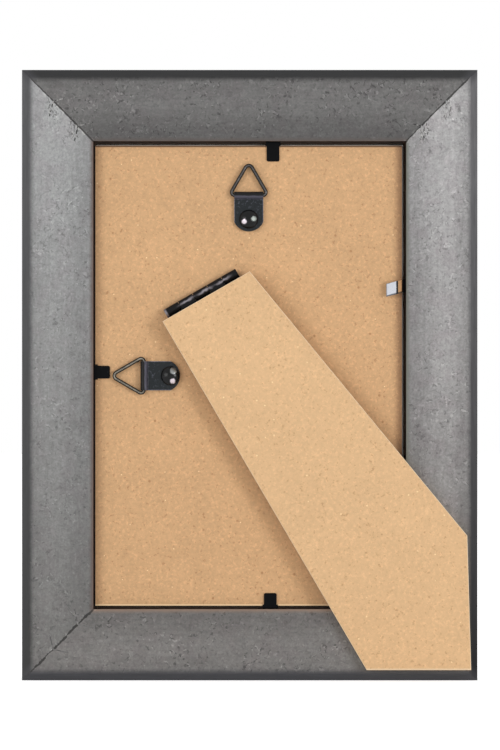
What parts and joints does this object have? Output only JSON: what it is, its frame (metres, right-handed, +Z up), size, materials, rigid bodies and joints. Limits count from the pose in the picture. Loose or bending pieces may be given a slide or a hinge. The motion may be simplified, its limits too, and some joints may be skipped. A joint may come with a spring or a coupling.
{
  "type": "easel back photo frame",
  "caption": "Photo frame of mitred rails with glass, a back held by bendable points, a hinged easel leg and a triangle hanger for each way of hanging.",
  "frame": {"origin": "under the middle of the whole part, on the face that it stands on when upright", "axes": "+Z up, -Y out of the front with the picture, +Y out of the back with the leg"},
  "size_m": [0.1504, 0.0192, 0.2016],
  "materials": {
    "rails": "grey stained back, black edges",
    "nails": "dull",
    "glass": "clear",
    "insert": "blank",
    "board": "smooth fibreboard",
    "leg": "smooth fibreboard",
    "points": "black, satin",
    "straps": "blue black, satin",
    "rings": "dark, satin",
    "rivets": "black, gloss",
    "hinge": "black, gloss",
    "pin": "dull"
  },
  "bodies": {
    "frame": {"rail_top": "rails", "rail_bottom": "rails", "rail_left": "rails", "rail_right": "rails", "corner_v_nails": "nails", "flexible_point_roots": "points", "glass_pane": "glass", "picture_insert": "insert", "backing_board": "board", "portrait_hanger_strap": "straps", "portrait_hanger_rivet": "rivets", "landscape_hanger_strap": "straps", "landscape_hanger_rivet": "rivets", "hinge_board_leaf": "hinge", "hinge_pin": "pin", "hinge_board_rivets": "rivets"},
    "leg": {"easel_leg": "leg", "hinge_leg_leaf": "hinge"},
    "portrait_ring": {"portrait_hanger_ring": "rings"},
    "landscape_ring": {"landscape_hanger_ring": "rings"},
    "top_point": {"flexible_point_top": "points"},
    "bottom_point": {"flexible_point_bottom": "points"},
    "right_point": {"flexible_point_right": "points"},
    "left_point": {"flexible_point_left": "points"}
  },
  "joints": [
    {"name": "leg_hinge", "type": "hinge", "parent": "frame", "child": "leg", "pos_m": [0.0159, 0.00505, 0.1278], "axis": [0.8678, 0, -0.497], "range_deg": [0, 30]},
    {"name": "portrait_ring_swing", "type": "hinge", "parent": "frame", "child": "portrait_ring", "pos_m": [0.0003, 0.00458, 0.1602], "axis": [-1, 0, 0], "range_deg": [-2.5, 160]},
    {"name": "landscape_ring_swing", "type": "hinge", "parent": "frame", "child": "landscape_ring", "pos_m": [0.0349, 0.00458, 0.1006], "axis": [0, 0, 1], "range_deg": [-2.5, 160]},
    {"name": "top_point_bend", "type": "hinge", "parent": "frame", "child": "top_point", "pos_m": [-0.0077, 0.00365, 0.17775], "axis": [1, 0, 0], "range_deg": [0, 90]},
    {"name": "bottom_point_bend", "type": "hinge", "parent": "frame", "child": "bottom_point", "pos_m": [-0.0068, 0.00365, 0.02385], "axis": [-1, 0, 0], "range_deg": [0, 90]},
    {"name": "right_point_bend", "type": "hinge", "parent": "frame", "child": "right_point", "pos_m": [0.05135, 0.00365, 0.1018], "axis": [0, 0, -1], "range_deg": [0, 90]},
    {"name": "left_point_bend", "type": "hinge", "parent": "frame", "child": "left_point", "pos_m": [-0.05135, 0.00395, 0.1306], "axis": [0, 0, 1], "range_deg": [-14, 50]}
  ]
}
